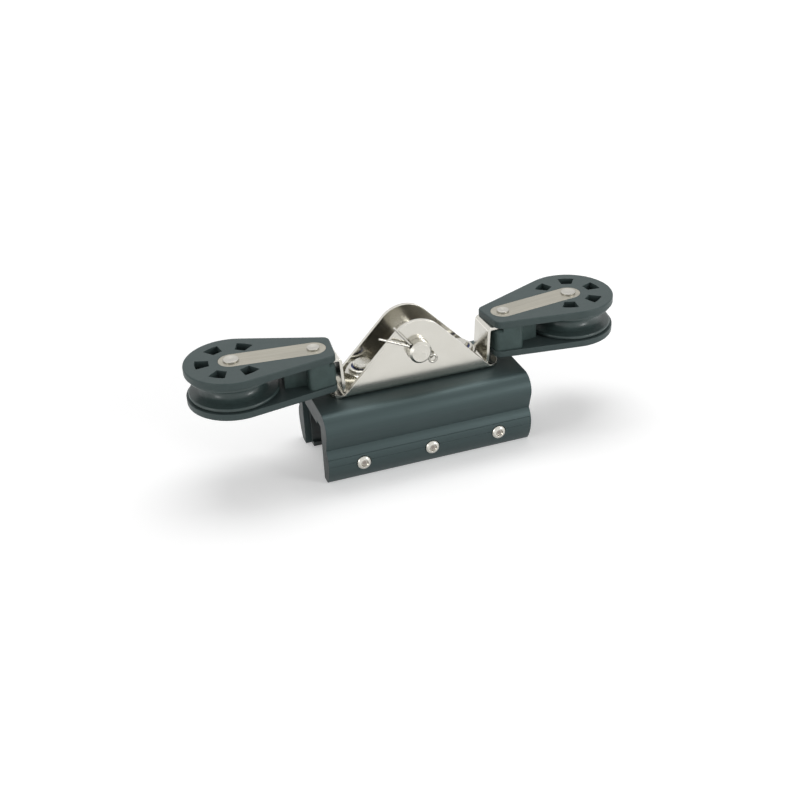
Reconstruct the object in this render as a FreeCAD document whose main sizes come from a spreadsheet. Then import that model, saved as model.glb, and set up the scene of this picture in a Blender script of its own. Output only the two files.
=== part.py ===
import FreeCAD, Part
import math
import operator
import os
from collections import namedtuple

import Sketcher

# A mainsheet traveller car: an extruded body with a running channel, a folded bracket with a
# clevis pin for the mainsheet block, and a control line block at each end.
# Frame: X runs along the channel, Z is up, and the origin is midway along the body, on its
# centre plane, at the height of its underside. The front is the -Y side.
# Lengths are in millimetres and angles in degrees.

SIZES = {
    # What the channel fits, and the running gap all round it.
    "beam_width": 27.8,
    "beam_top": 28.1,
    "running_gap": 0.3,
    # The extruded body.
    "body_length": 112.0,
    "body_top": 39.5,
    "body_half_width": 28.5,
    "shoulder_radius": 8.3,
    "flank_lean": 17.0,
    "crease_height": 20.2,
    "bulge_height": 13.2,
    "foot_half_width": 23.5,
    "slab_gap": 0.5,
    "foot_round": 1.6,
    "upper_line_height": 16.0,
    "lower_line_height": 11.8,
    "line_depth": 0.35,
    # The acetal slides inside it.
    "slide_wall": 3.8,
    "slide_roof": 2.6,
    "slide_flange": 6.8,
    "slide_setback": 3.0,
    "foot_rise": 0.6,
    "hook_height": 2.4,
    "hook_reach": 1.8,
    # The rivets through its sides.
    "rivet_spacing": 37.3,
    "rivet_height": 10.9,
    "rivet_head_radius": 3.8,
    "rivet_head_height": 1.8,
    "rivet_seat_depth": 0.5,
    "rivet_seat_gap": 0.2,
    "rivet_rim": 0.3,
    "rivet_crown_radius": 2.0,
    "rivet_dimple_depth": 0.9,
    "rivet_shank_radius": 2.0,
    "rivet_fit": 0.05,
    "rivet_grip": 12.5,
    # The folded bracket.
    "bracket_sheet": 2.0,
    "bracket_half_length": 46.6,
    "bracket_half_width": 11.0,
    "bracket_bend": 0.5,
    "bracket_corner": 8.0,
    "lug_half_length": 40.0,
    "lug_radius": 16.0,
    "pin_height": 60.0,
    # The strap that carries the two blocks.
    "strap_sheet": 1.5,
    "strap_half_width": 8.8,
    "foot_bend_at": 37.4,
    "foot_bend": 1.5,
    "top_bend": 1.0,
    "upright_lean": 3.0,
    "flange_straight": 48.0,
    # The bolts and their locking nuts.
    "bolt_spacing": 26.7,
    "bolt_radius": 5.0,
    "bolt_end": 53.2,
    "bolt_chamfer": 0.9,
    "bolt_head_radius": 8.0,
    "bolt_head_height": 6.0,
    "bolt_sink": 6.5,
    "bolt_head_gap": 0.6,
    "bolt_socket": 8.0,
    "bolt_socket_depth": 3.0,
    "bolt_fit": 0.2,
    "nut_width": 17.0,
    "nut_hex_height": 6.0,
    "nut_height": 8.0,
    "nut_collar_radius": 7.5,
    "nut_lip_radius": 5.9,
    "insert_radius": 6.8,
    "insert_height": 1.8,
    "thread_gap": 0.05,
    # The clevis pin and its split pin.
    "pin_radius": 6.0,
    "pin_fit": 0.08,
    "pin_side_play": 0.2,
    "pin_nose": 5.6,
    "pin_chamfer": 1.2,
    "pin_head_radius": 8.5,
    "pin_head_height": 3.0,
    "pin_head_edge": 0.4,
    "split_pin_at": 13.5,
    "split_pin_tilt": 39.0,
    "split_wire_radius": 0.6,
    "split_lane": 0.625,
    "split_eye_radius": 2.0,
    "split_eye_distance": 9.2,
    "split_neck_radius": 1.5,
    "split_bend_radius": 3.0,
    "split_spread": 14.0,
    "split_long_leg": 16.5,
    "split_short_leg": 13.2,
    "split_hole_gap": 0.3,
    # The two blocks, measured from the axle of each.
    "tail_pivot": 52.0,
    "pivot_distance": 41.4,
    "left_yaw": 6.0,
    "right_yaw": 8.4,
    "cheek_top": 66.0,
    "cheek_thickness": 3.8,
    "cheek_spacing": 13.4,
    "cheek_radius": 24.1,
    "cheek_taper": 16.0,
    "cheek_tail": 9.8,
    "cheek_corner": 4.0,
    "cheek_edge": 0.8,
    "window_inner": 11.4,
    "window_outer": 18.2,
    "window_half_angle": 14.0,
    "window_pitch": 60.0,
    "swivel_play": 0.1,
    "side_strap_half_width": 6.5,
    "side_strap_sheet": 1.5,
    "side_strap_fit": 0.1,
    "sheave_radius": 22.9,
    "sheave_play": 0.4,
    "groove_floor": 15.4,
    "groove_radius": 4.0,
    "groove_flare": 8.0,
    "rim_edge": 0.4,
    "rim_round": 0.8,
    "bush_radius": 6.0,
    "bush_fit": 0.05,
    "axle_radius": 3.0,
    "axle_head_radius": 4.0,
    "pivot_radius": 2.5,
    "pivot_fit": 0.06,
    "pivot_head_radius": 3.25,
    "head_height": 1.0,
    "head_chamfer": 0.3,
    "head_rim": 0.6,
    "head_dish_depth": 0.3,
    "spacer_inset": 1.0,
    "spacer_tail": 9.3,
    "spacer_nose": 5.1,
    "spacer_corner": 2.2,
    "spacer_chamfer": 1.2,
    "web_half_width": 6.5,
    "web_gap": 2.6,
    "slot_gap": 0.9,
    "slot_flare": 12.0,
}

X_AXIS = FreeCAD.Vector(1, 0, 0)
Y_AXIS = FreeCAD.Vector(0, 1, 0)
Z_AXIS = FreeCAD.Vector(0, 0, 1)
TOLERANCE = 1e-6
WINDOWS = 5

doc = FreeCAD.newDocument("TrackCar")
sheet = doc.addObject("Spreadsheet::Sheet", "Sizes")
for row, (alias, number) in enumerate(SIZES.items(), start=1):
    sheet.set(f"A{row}", alias)
    sheet.set(f"B{row}", str(number))
    sheet.setAlias(f"B{row}", alias)
doc.recompute()


class Size:
    """A length or an angle that knows its value and its formula over the sheet's cells."""

    def __init__(self, value, formula):
        self.value = float(value)
        self.formula = formula

    def combined(self, sign, work, other):
        other = as_size(other)
        return Size(work(self.value, other.value), f"({self.formula} {sign} {other.formula})")

    def __add__(self, other):
        return self.combined("+", operator.add, other)

    def __sub__(self, other):
        return self.combined("-", operator.sub, other)

    def __mul__(self, other):
        return self.combined("*", operator.mul, other)

    def __truediv__(self, other):
        return self.combined("/", operator.truediv, other)

    def __neg__(self):
        return Size(-self.value, f"(0 - {self.formula})")

    def is_zero(self):
        return abs(self.value) < TOLERANCE


def as_size(number):
    return number if isinstance(number, Size) else Size(number, repr(float(number)))


def cosine(angle):
    return Size(math.cos(math.radians(angle.value)), f"cos({angle.formula} * 1 deg)")


def sine(angle):
    return Size(math.sin(math.radians(angle.value)), f"sin({angle.formula} * 1 deg)")


def tangent(angle):
    return Size(math.tan(math.radians(angle.value)), f"tan({angle.formula} * 1 deg)")


def root(size):
    return Size(math.sqrt(size.value), f"sqrt({size.formula})")


ZERO, RIGHT_ANGLE, STRAIGHT = as_size(0), as_size(90), as_size(180)
HEXAGON_HALF = as_size(30)
size = {alias: Size(number, f"Sizes.{alias}") for alias, number in SIZES.items()}

# A corner of an outline, and the piece that arrives at it: straight, or an arc of that
# radius that turns left or right.
Corner = namedtuple("Corner", "x y radius turn")
LEFT, RIGHT = 1, -1


def line(x, y):
    return Corner(as_size(x), as_size(y), None, None)


def arc(x, y, radius, turn):
    return Corner(as_size(x), as_size(y), as_size(radius), turn)


def mirrored(corners, across="x"):
    """The corners and their mirror images with x or y reversed, as one closed outline."""
    first, shape, far = corners[0], line(0, 0), []
    for corner in reversed(corners):
        if not getattr(corner, across).is_zero():
            image = corner._replace(radius=shape.radius, turn=shape.turn)
            far.append(image._replace(**{across: -getattr(corner, across)}))
        shape = corner if corner is not first else shape
    if getattr(first, across).is_zero():
        arriving = corners[1]
        first = first._replace(radius=arriving.radius, turn=arriving.turn)
    return [first] + corners[1:] + far


def hold(sketch, index, end, x, y):
    """Hold a point of the sketch at x and y from its origin, each by its own dimension."""
    for kind, distance, axis in (("DistanceX", x, -2), ("DistanceY", y, -1)):
        if distance.is_zero():
            sketch.addConstraint(Sketcher.Constraint("PointOnObject", index, end, axis))
            continue
        rule = Sketcher.Constraint(kind, -1, 1, index, end, distance.value)
        number = sketch.addConstraint(rule)
        sketch.setExpression(f"Constraints[{number}]", distance.formula)


def add_piece(sketch, start, corner):
    """Add the line or the arc from start to the corner; return its index and its two ends."""
    here = FreeCAD.Vector(start.x.value, start.y.value, 0)
    there = FreeCAD.Vector(corner.x.value, corner.y.value, 0)
    if corner.radius is None:
        return sketch.addGeometry(Part.LineSegment(here, there), False), 1, 2
    radius = corner.radius.value
    half_chord = (there - here) * 0.5
    rise = math.sqrt(max(radius ** 2 - half_chord.Length ** 2, 0.0))
    side = FreeCAD.Vector(-half_chord.y, half_chord.x, 0).normalize()
    centre = here + half_chord + side * rise * corner.turn
    first, last = (here, there) if corner.turn == LEFT else (there, here)
    begin = math.atan2(first.y - centre.y, first.x - centre.x)
    finish = math.atan2(last.y - centre.y, last.x - centre.x)
    circle = Part.Circle(centre, Z_AXIS, radius)
    index = sketch.addGeometry(Part.ArcOfCircle(circle, begin, finish), False)
    number = sketch.addConstraint(Sketcher.Constraint("Radius", index, radius))
    sketch.setExpression(f"Constraints[{number}]", corner.radius.formula)
    return (index, 1, 2) if corner.turn == LEFT else (index, 2, 1)


def draw(sketch, corners, closed=True):
    """Draw the outline through the corners, each held by its dimensions."""
    starts = corners[-1:] + corners[:-1]
    pairs = list(zip(starts, corners)) if closed else list(zip(corners[:-1], corners[1:]))
    pieces = []
    for start, corner in pairs:
        index, begin, finish = add_piece(sketch, start, corner)
        if pieces:
            before, _, joint = pieces[-1]
            sketch.addConstraint(Sketcher.Constraint("Coincident", before, joint, index, begin))
        else:
            if not closed:
                hold(sketch, index, begin, start.x, start.y)
        hold(sketch, index, finish, corner.x, corner.y)
        pieces.append((index, begin, finish))
    if closed:
        (first, begin, _), (last, _, finish) = pieces[0], pieces[-1]
        sketch.addConstraint(Sketcher.Constraint("Coincident", last, finish, first, begin))


def draw_circle(sketch, x, y, radius):
    x, y = as_size(x), as_size(y)
    circle = Part.Circle(FreeCAD.Vector(x.value, y.value, 0), Z_AXIS, radius.value)
    index = sketch.addGeometry(circle, False)
    number = sketch.addConstraint(Sketcher.Constraint("Radius", index, radius.value))
    sketch.setExpression(f"Constraints[{number}]", radius.formula)
    hold(sketch, index, 3, x, y)


def new_body(name):
    body = doc.addObject("PartDesign::Body", name)
    body.Label = name
    return body


def origin_feature(body, role):
    return next(item for item in body.Origin.OriginFeatures if item.Role == role)


def new_sketch(body, role, offset=None):
    """A sketch on one of the body's own planes, moved along that plane's normal."""
    sketch = body.newObject("Sketcher::SketchObject", f"{body.Name}_sketch")
    sketch.AttachmentSupport = [(origin_feature(body, role), "")]
    sketch.MapMode = "FlatFace"
    if offset is not None:
        sketch.setExpression("AttachmentOffset.Base.z", offset.formula)
    return sketch


def pad(body, sketch, length, both_ways=False):
    feature = body.newObject("PartDesign::Pad", f"{body.Name}_pad")
    feature.Profile = sketch
    feature.SideType = "Symmetric" if both_ways else "One side"
    feature.setExpression("Length", length.formula)
    return feature


def pocket(body, sketch, depth=None, both_ways=False, along_normal=False):
    """Cut the sketch's outlines out of the body, right through it where no depth is given."""
    feature = body.newObject("PartDesign::Pocket", f"{body.Name}_pocket")
    feature.Profile = sketch
    feature.SideType = "Symmetric" if both_ways else "One side"
    feature.Reversed = along_normal
    if depth is None:
        feature.Type = "ThroughAll"
    else:
        feature.setExpression("Length", depth.formula)
    return feature


def edges_where(feature, test):
    """The names of the feature's edges whose every vertex passes the test."""
    doc.recompute()
    edges = enumerate(feature.Shape.Edges, start=1)
    return [f"Edge{n}" for n, edge in edges if all(test(v.Point) for v in edge.Vertexes)]


def dress(body, kind, feature, edges, amount):
    """Round or chamfer the edges of the body's last feature."""
    dressing = body.newObject(f"PartDesign::{kind}", f"{body.Name}_{kind.lower()}")
    dressing.Base = (feature, edges)
    dressing.setExpression("Radius" if kind == "Fillet" else "Size", amount.formula)
    return dressing


def turned(name, corners):
    """A solid of revolution about Z from an outline of radius and height."""
    body = new_body(name)
    sketch = new_sketch(body, "XZ_Plane")
    draw(sketch, corners)
    feature = body.newObject("PartDesign::Revolution", f"{name}_turn")
    feature.Profile = sketch
    feature.ReferenceAxis = (sketch, ["V_Axis"])
    return body


def boolean(name, kind, **links):
    item = doc.addObject(f"Part::{kind}", name)
    item.Label = name
    for prop, value in links.items():
        setattr(item, prop, value)
    return item


def place(item, x=ZERO, y=ZERO, z=ZERO, axis=None, angle=None):
    """Put the item at x, y, z, turned about the axis."""
    if axis is not None:
        turn = FreeCAD.Rotation(axis, angle.value)
        item.Placement = FreeCAD.Placement(FreeCAD.Vector(), turn)
        item.setExpression("Placement.Rotation.Angle", angle.formula)
    for letter, distance in zip("xyz", (x, y, z)):
        item.setExpression(f"Placement.Base.{letter}", as_size(distance).formula)
    return item


# Sizes that several pieces share.
beam_half = size["beam_width"] / 2
slide_inner = beam_half + size["running_gap"]
leg_inner = slide_inner + size["slide_wall"]
slide_underside = size["beam_top"] + size["running_gap"]
slide_top = slide_underside + size["slide_roof"]
slab_underside = slide_underside + size["slab_gap"]
slide_flange_inner = leg_inner - size["slide_flange"]
bracket_top = size["body_top"] + size["bracket_sheet"]
strap_top = bracket_top + size["strap_sheet"]
bolt_seat = slab_underside + size["bolt_sink"]
cheek_bottom = size["cheek_top"] - size["cheek_thickness"]
lower_cheek_top = cheek_bottom - size["cheek_spacing"]
lower_cheek_bottom = lower_cheek_top - size["cheek_thickness"]
flange_top = cheek_bottom - size["swivel_play"]
flange_underside = flange_top - size["strap_sheet"]
slot_floor = flange_underside - size["swivel_play"]
rivet_hole_radius = size["rivet_shank_radius"] + size["rivet_fit"]
rivet_seat_radius = size["rivet_head_radius"] + size["rivet_seat_gap"]
bolt_hole_radius = size["bolt_radius"] + size["bolt_fit"]
axle_hole_radius = size["axle_radius"] + size["bush_fit"]
pivot_hole_radius = size["pivot_radius"] + size["pivot_fit"]
rivet_places = (-size["rivet_spacing"], ZERO, size["rivet_spacing"])
bolt_places = (-size["bolt_spacing"], size["bolt_spacing"])


def bulge_radius(rise, run):
    """The radius of an arc that is upright at one end and has gone in by run after rise."""
    return (rise * rise + run * run) / (run * 2)


def make_car_body():
    """The extrusion: two legs with a waist, a thick roof and a channel for the slides."""
    lean = size["flank_lean"]
    shoulder_x = size["body_half_width"] - size["shoulder_radius"]
    shoulder_z = size["body_top"] - size["shoulder_radius"]
    flank_x = shoulder_x + size["shoulder_radius"] * cosine(lean)
    flank_z = shoulder_z - size["shoulder_radius"] * sine(lean)
    crease_x = flank_x - (flank_z - size["crease_height"]) * tangent(lean)
    upper_rise = size["crease_height"] - size["bulge_height"]
    upper_radius = bulge_radius(upper_rise, size["body_half_width"] - crease_x)
    foot_run = size["body_half_width"] - size["foot_half_width"]
    lower_radius = bulge_radius(size["bulge_height"], foot_run)
    body = new_body("car_body")
    profile = new_sketch(body, "YZ_Plane")
    draw(profile, mirrored([
        line(shoulder_x, size["body_top"]),
        arc(flank_x, flank_z, size["shoulder_radius"], RIGHT),
        line(crease_x, size["crease_height"]),
        arc(size["body_half_width"], size["bulge_height"], upper_radius, RIGHT),
        arc(size["foot_half_width"], 0, lower_radius, RIGHT),
        line(leg_inner, 0),
        line(leg_inner, slide_top),
        line(slide_flange_inner, slide_top),
        line(slide_flange_inner, slab_underside),
    ]))
    extrusion = pad(body, profile, size["body_length"], both_ways=True)
    foot = size["foot_half_width"].value
    soles = edges_where(extrusion, lambda point: abs(point.z) + abs(abs(point.y) - foot) < TOLERANCE)
    dress(body, "Fillet", extrusion, soles, size["foot_round"])

    scored = new_sketch(body, "YZ_Plane")
    depth = size["line_depth"]
    for height in (size["upper_line_height"], size["lower_line_height"]):
        above = height.value > size["bulge_height"].value
        radius = upper_radius if above else lower_radius
        rise = height - size["bulge_height"]
        skin = size["body_half_width"] - (rise * rise) / (radius * 2)
        for side in (1, -1):
            draw(scored, [
                line((skin - depth) * side, height),
                line((skin + depth) * side, height + depth),
                line((skin + depth) * side, height - depth),
            ])
    pocket(body, scored, both_ways=True)

    shanks = new_sketch(body, "XZ_Plane")
    for x in rivet_places:
        draw_circle(shanks, x, size["rivet_height"], rivet_hole_radius)
    pocket(body, shanks, both_ways=True)
    seat = size["body_half_width"] - size["rivet_seat_depth"]
    for offset, along_normal in ((seat, True), (-seat, False)):
        seats = new_sketch(body, "XZ_Plane", offset)
        for x in rivet_places:
            draw_circle(seats, x, size["rivet_height"], rivet_seat_radius)
        pocket(body, seats, along_normal=along_normal)

    bolts = new_sketch(body, "XY_Plane", size["body_top"])
    for x in bolt_places:
        draw_circle(bolts, x, 0, bolt_hole_radius)
    pocket(body, bolts)
    heads = new_sketch(body, "XY_Plane", bolt_seat)
    for x in bolt_places:
        draw_circle(heads, x, 0, size["bolt_head_radius"] + size["bolt_head_gap"])
    pocket(body, heads)
    return body


def make_slide(name, side):
    """An acetal slide: a wall along the leg, a flange under the roof and a hook at the foot."""
    hook_inner = slide_inner - size["hook_reach"]
    hook_top = size["foot_rise"] + size["hook_height"]
    body = new_body(name)
    profile = new_sketch(body, "YZ_Plane")
    draw(profile, [
        line(leg_inner * side, size["foot_rise"]),
        line(leg_inner * side, slide_top),
        line(slide_flange_inner * side, slide_top),
        line(slide_flange_inner * side, slide_underside),
        line(slide_inner * side, slide_underside),
        line(slide_inner * side, hook_top),
        line(hook_inner * side, hook_top),
        line(hook_inner * side, size["foot_rise"]),
    ])
    pad(body, profile, size["body_length"] - size["slide_setback"] * 2, both_ways=True)
    shanks = new_sketch(body, "XZ_Plane")
    for x in rivet_places:
        draw_circle(shanks, x, size["rivet_height"], rivet_hole_radius)
    pocket(body, shanks, both_ways=True)
    return body


def make_side_rivets(name, side):
    """Three domed rivets in a row, with a dimple in each head."""
    head, height = size["rivet_head_radius"], size["rivet_head_height"]
    edge, crown, dimple = size["rivet_rim"], size["rivet_crown_radius"], size["rivet_dimple_depth"]
    run, rise = head - crown, height - edge
    dome = (run * run + rise * rise) / (rise * 2)
    seat = (size["body_half_width"] - size["rivet_seat_depth"]) * side
    rivets = []
    for number, x in enumerate(rivet_places, start=1):
        rivet = turned(f"{name}_{number}", [
            line(0, -size["rivet_grip"]),
            line(size["rivet_shank_radius"], -size["rivet_grip"]),
            line(size["rivet_shank_radius"], 0),
            line(head, 0),
            line(head, edge),
            arc(crown, height, dome, LEFT),
            line(crown - dimple / 2, height - dimple),
            line(0, height - dimple),
        ])
        place(rivet, x, seat, size["rivet_height"], X_AXIS, RIGHT_ANGLE * -side)
        rivets.append(rivet)
    return boolean(name, "Compound", Links=rivets)


def extruded_view(name, role, corners, length, holes=(), offset=None, both_ways=True):
    """One view of a folded piece, extruded through it; holes are x, y and radius."""
    body = new_body(name)
    outline = new_sketch(body, role, offset)
    draw(outline, corners)
    for x, y, radius in holes:
        draw_circle(outline, x, y, radius)
    pad(body, outline, length, both_ways)
    return body


def make_bracket():
    """A sheet folded to a U: its section, its side view and its plan have only it in common."""
    sheet_size, half = size["bracket_sheet"], size["bracket_half_width"]
    inner, bend = half - sheet_size, size["bracket_bend"]
    outer_bend = bend + sheet_size
    apex = size["pin_height"] + size["lug_radius"]
    section = extruded_view("bracket_section", "YZ_Plane", mirrored([
        line(half - outer_bend, size["body_top"]),
        arc(half, size["body_top"] + outer_bend, outer_bend, LEFT),
        line(half, apex),
        line(inner, apex),
        line(inner, bracket_top + bend),
        arc(inner - bend, bracket_top, bend, RIGHT),
    ]), size["bracket_half_length"] * 2)

    # The sloping edge is the tangent from the lug's tip to the round top.
    run, rise = size["lug_half_length"], size["pin_height"] - bracket_top
    radius = size["lug_radius"]
    reach = root(run * run + rise * rise - radius * radius)
    span = run * run + rise * rise
    touch_x = run - (reach * (run * reach - rise * radius)) / span
    touch_z = bracket_top + (reach * (rise * reach + run * radius)) / span
    side = extruded_view("bracket_side", "XZ_Plane", mirrored([
        line(size["bracket_half_length"], size["body_top"]),
        line(size["bracket_half_length"], bracket_top),
        line(size["lug_half_length"], bracket_top),
        line(touch_x, touch_z),
        arc(0, apex, radius, LEFT),
    ]), half * 3, [(0, size["pin_height"], size["pin_radius"] + size["pin_fit"])])

    end, corner = size["bracket_half_length"], size["bracket_corner"]
    plan = extruded_view("bracket_plan", "XY_Plane", mirrored([
        line(end - corner, -half),
        arc(end, corner - half, corner, LEFT),
        line(end, half - corner),
        arc(end - corner, half, corner, LEFT),
    ]), apex * 3, [(x, 0, bolt_hole_radius) for x in bolt_places])
    return boolean("bracket", "MultiCommon", Shapes=[section, side, plan])


def make_block_strap():
    """The strap on the bracket's floor, turned up at both ends and out again to the blocks.

    Its lower long edges are chamfered to clear the bracket's folds.
    """
    lean, foot, top = size["upright_lean"], size["foot_bend"], size["top_bend"]
    sheet_size = size["strap_sheet"]
    foot_x, foot_z = size["foot_bend_at"], strap_top + foot
    top_z = flange_underside - top
    bends = foot + sheet_size + top
    upright = (top_z - foot_z + bends * sine(lean)) / cosine(lean)
    top_x = foot_x + bends * cosine(lean) + upright * sine(lean)
    tip = size["flange_straight"] + size["strap_half_width"]

    def on_foot(radius):
        return foot_x + radius * cosine(lean), foot_z - radius * sine(lean)

    def on_top(radius):
        return top_x - radius * cosine(lean), top_z + radius * sine(lean)

    side = extruded_view("strap_side", "XZ_Plane", mirrored([
        line(foot_x, bracket_top),
        arc(*on_foot(foot + sheet_size), foot + sheet_size, LEFT),
        line(*on_top(top)),
        arc(top_x, flange_underside, top, RIGHT),
        line(tip, flange_underside),
        line(tip, flange_top),
        line(top_x, flange_top),
        arc(*on_top(top + sheet_size), top + sheet_size, LEFT),
        line(*on_foot(foot)),
        arc(foot_x, strap_top, foot, RIGHT),
    ]), size["strap_half_width"] * 2)
    holes = [(x, 0, bolt_hole_radius) for x in bolt_places]
    holes += [(size["tail_pivot"] * sign, 0, pivot_hole_radius) for sign in (-1, 1)]
    half = size["strap_half_width"]
    plan = extruded_view("strap_plan", "XY_Plane", mirrored([
        line(size["flange_straight"], -half),
        arc(tip, 0, half, LEFT),
        arc(size["flange_straight"], half, half, LEFT),
    ]), flange_top * 3, holes)
    relief = size["bracket_bend"]
    section = extruded_view("strap_section", "YZ_Plane", mirrored([
        line(half - relief, bracket_top),
        line(half, bracket_top + relief),
        line(half, flange_top),
    ]), tip * 2)
    return boolean("block_strap", "MultiCommon", Shapes=[side, plan, section])


def make_bolt(number, x):
    """A socket head bolt up through the roof, with a chamfer on its free end."""
    radius, chamfer = size["bolt_radius"], size["bolt_chamfer"]
    under = bolt_seat - size["bolt_head_height"]
    bolt = turned(f"bolt_{number}", [
        line(0, under),
        line(size["bolt_head_radius"], under),
        line(size["bolt_head_radius"], bolt_seat),
        line(radius, bolt_seat),
        line(radius, size["bolt_end"] - chamfer),
        line(radius - chamfer, size["bolt_end"]),
        line(0, size["bolt_end"]),
    ])
    socket = new_sketch(bolt, "XY_Plane", under)
    across = size["bolt_socket"] / 2
    point = across / cosine(HEXAGON_HALF)
    draw(socket, mirrored([
        line(point, 0),
        line(point / 2, across),
        line(-point / 2, across),
        line(-point, 0),
    ], "y"))
    pocket(bolt, socket, size["bolt_socket_depth"], along_normal=True)
    return place(bolt, x)


def make_nut(number, x):
    """A hexagon nut with a round collar, hollowed for its locking insert."""
    flat = size["nut_width"] / 2
    point = flat / cosine(HEXAGON_HALF)
    height, hexagon = size["nut_height"], size["nut_hex_height"]
    bevel, collar = (point - flat) / 2, size["nut_collar_radius"]
    roll = height - hexagon - bevel
    envelope = turned(f"nut_envelope_{number}", [
        line(0, 0),
        line(flat, 0),
        line(point, bevel),
        line(point, hexagon - bevel),
        line(flat, hexagon),
        line(collar, hexagon),
        line(collar, height - roll / 2),
        arc(collar - roll / 2, height, roll / 2, LEFT),
        line(0, height),
    ])
    prism = doc.addObject("Part::Prism", f"nut_hexagon_{number}")
    prism.Polygon = 6
    prism.setExpression("Circumradius", point.formula)
    prism.setExpression("Height", height.formula)
    outside = boolean(f"nut_outside_{number}", "Common", Base=prism, Tool=envelope)
    bore, lip = size["bolt_radius"] + size["thread_gap"], size["nut_lip_radius"]
    shelf = hexagon - size["insert_height"] / 2
    insert = size["insert_radius"]
    hollow = turned(f"nut_hollow_{number}", [
        line(0, -height),
        line(bore, -height),
        line(bore, shelf),
        line(insert, shelf),
        line(insert, shelf + size["insert_height"]),
        line(lip, shelf + size["insert_height"]),
        line(lip, height * 2),
        line(0, height * 2),
    ])
    nut = boolean(f"nut_{number}", "Cut", Base=outside, Tool=hollow)
    return place(nut, x, ZERO, strap_top)


def make_insert(number, x):
    """The nylon locking ring inside a nut's collar."""
    bore, outer = size["bolt_radius"] + size["thread_gap"], size["insert_radius"]
    height = size["insert_height"]
    ring = turned(f"insert_{number}", [
        line(bore, 0),
        line(outer, 0),
        line(outer, height),
        line(bore, height),
    ])
    floor = strap_top + size["nut_hex_height"] - height / 2
    return place(ring, x, ZERO, floor)


def make_pair(name, make_one):
    """The two fasteners of one kind, left and right."""
    items = [make_one(number, x) for number, x in enumerate(bolt_places, start=1)]
    return boolean(name, "Compound", Links=items)


def make_clevis_pin():
    """A headed pin through both lugs, headed at the back and drilled across its front end."""
    radius, chamfer = size["pin_radius"], size["pin_chamfer"]
    under_head = -size["bracket_half_width"] - size["pin_side_play"]
    head_end = under_head - size["pin_head_height"]
    nose = size["bracket_half_width"] + size["pin_nose"]
    edge = size["pin_head_edge"]
    blank = turned("clevis_blank", [
        line(0, head_end),
        line(size["pin_head_radius"] - edge, head_end),
        line(size["pin_head_radius"], head_end + edge),
        line(size["pin_head_radius"], under_head),
        line(radius, under_head),
        line(radius, nose - chamfer),
        line(radius - chamfer, nose),
        line(0, nose),
    ])
    place(blank, ZERO, ZERO, size["pin_height"], X_AXIS, RIGHT_ANGLE)
    drill = doc.addObject("Part::Cylinder", "clevis_drill")
    tilt, half = size["split_pin_tilt"], radius * 2
    drill.setExpression("Radius", (size["split_wire_radius"] * 2 + size["split_hole_gap"]).formula)
    drill.setExpression("Height", (half * 2).formula)
    place(drill, half * cosine(tilt), -size["split_pin_at"],
          size["pin_height"] - half * sine(tilt), Y_AXIS, tilt - RIGHT_ANGLE)
    return boolean("clevis_pin", "Cut", Base=blank, Tool=drill)


def make_split_pin():
    """One wire, folded round an eye, through the clevis pin and spread beyond it."""
    wire, eye, neck = (size[f"split_{word}_radius"] for word in ("wire", "eye", "neck"))
    distance, bend, spread = size["split_eye_distance"], size["split_bend_radius"], size["split_spread"]
    lane = size["split_lane"]
    drop = lane + neck
    neck_x = root((eye + neck) * (eye + neck) - drop * drop) - distance
    share = eye / (eye + neck)
    body = new_body("split_pin")
    section = new_sketch(body, "XY_Plane")
    draw_circle(section, -distance - eye, 0, wire)
    exit_x = size["pin_radius"] + wire
    for side, leg in ((1, size["split_long_leg"]), (-1, size["split_short_leg"])):
        bend_x = exit_x + bend * sine(spread)
        bend_z = lane + bend * (as_size(1) - cosine(spread))
        curl, uncurl = (RIGHT, LEFT) if side == 1 else (LEFT, RIGHT)
        spine = new_sketch(body, "XZ_Plane")
        draw(spine, [
            line(-distance - eye, 0),
            arc(-distance, eye * side, eye, curl),
            arc((neck_x + distance) * share - distance, drop * share * side, eye, curl),
            arc(neck_x, lane * side, neck, uncurl),
            line(exit_x, lane * side),
            arc(bend_x, bend_z * side, bend, uncurl),
            line(bend_x + leg * cosine(spread), (bend_z + leg * sine(spread)) * side),
        ], closed=False)
        pipe = body.newObject("PartDesign::AdditivePipe", "split_pin_leg")
        pipe.Profile = section
        pipe.Spine = spine
    return place(body, ZERO, -size["split_pin_at"], size["pin_height"],
                 Y_AXIS, size["split_pin_tilt"] + STRAIGHT)


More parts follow.
